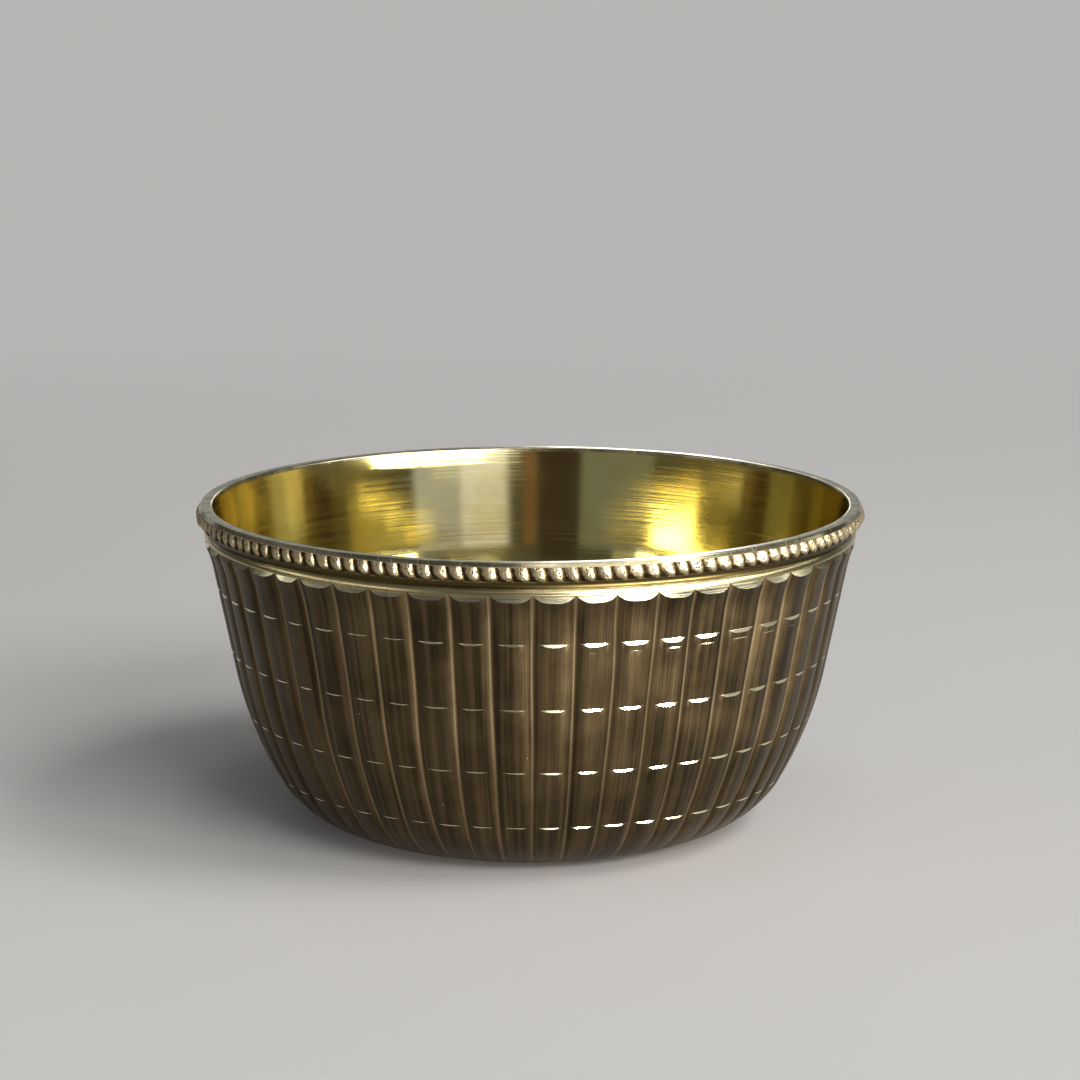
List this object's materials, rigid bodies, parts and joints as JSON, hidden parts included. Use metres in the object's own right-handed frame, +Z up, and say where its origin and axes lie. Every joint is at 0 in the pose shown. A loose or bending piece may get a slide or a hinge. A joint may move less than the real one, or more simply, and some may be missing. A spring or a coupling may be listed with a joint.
{
  "type": "brass bowl",
  "caption": "Small round brass bowl with a reeded wall, rows of small facets cut across the reeds, a moulded collar, a beaded rim and a flat lip.",
  "frame": {"origin": "centre of the flat foot, on the surface that the bowl stands on", "axes": "+Z up along the bowl's axis; -Y towards the side that the picture shows, +X to its right"},
  "size_m": [0.102, 0.102, 0.0492],
  "materials": {
    "satin_brass": "satin brass outside with fine upright draw lines, mirror polish inside",
    "turned_brass": "lathe turned, half bright",
    "beaded_brass": "pale rubbed beads with darker, slightly pitted cuts between them",
    "lip_brass": "pale, burnished and lightly scratched"
  },
  "bodies": {
    "root": {"bowl_body": "satin_brass", "collar_ring": "turned_brass", "beaded_wire": "beaded_brass", "lip_ring": "lip_brass"}
  },
  "joints": []
}
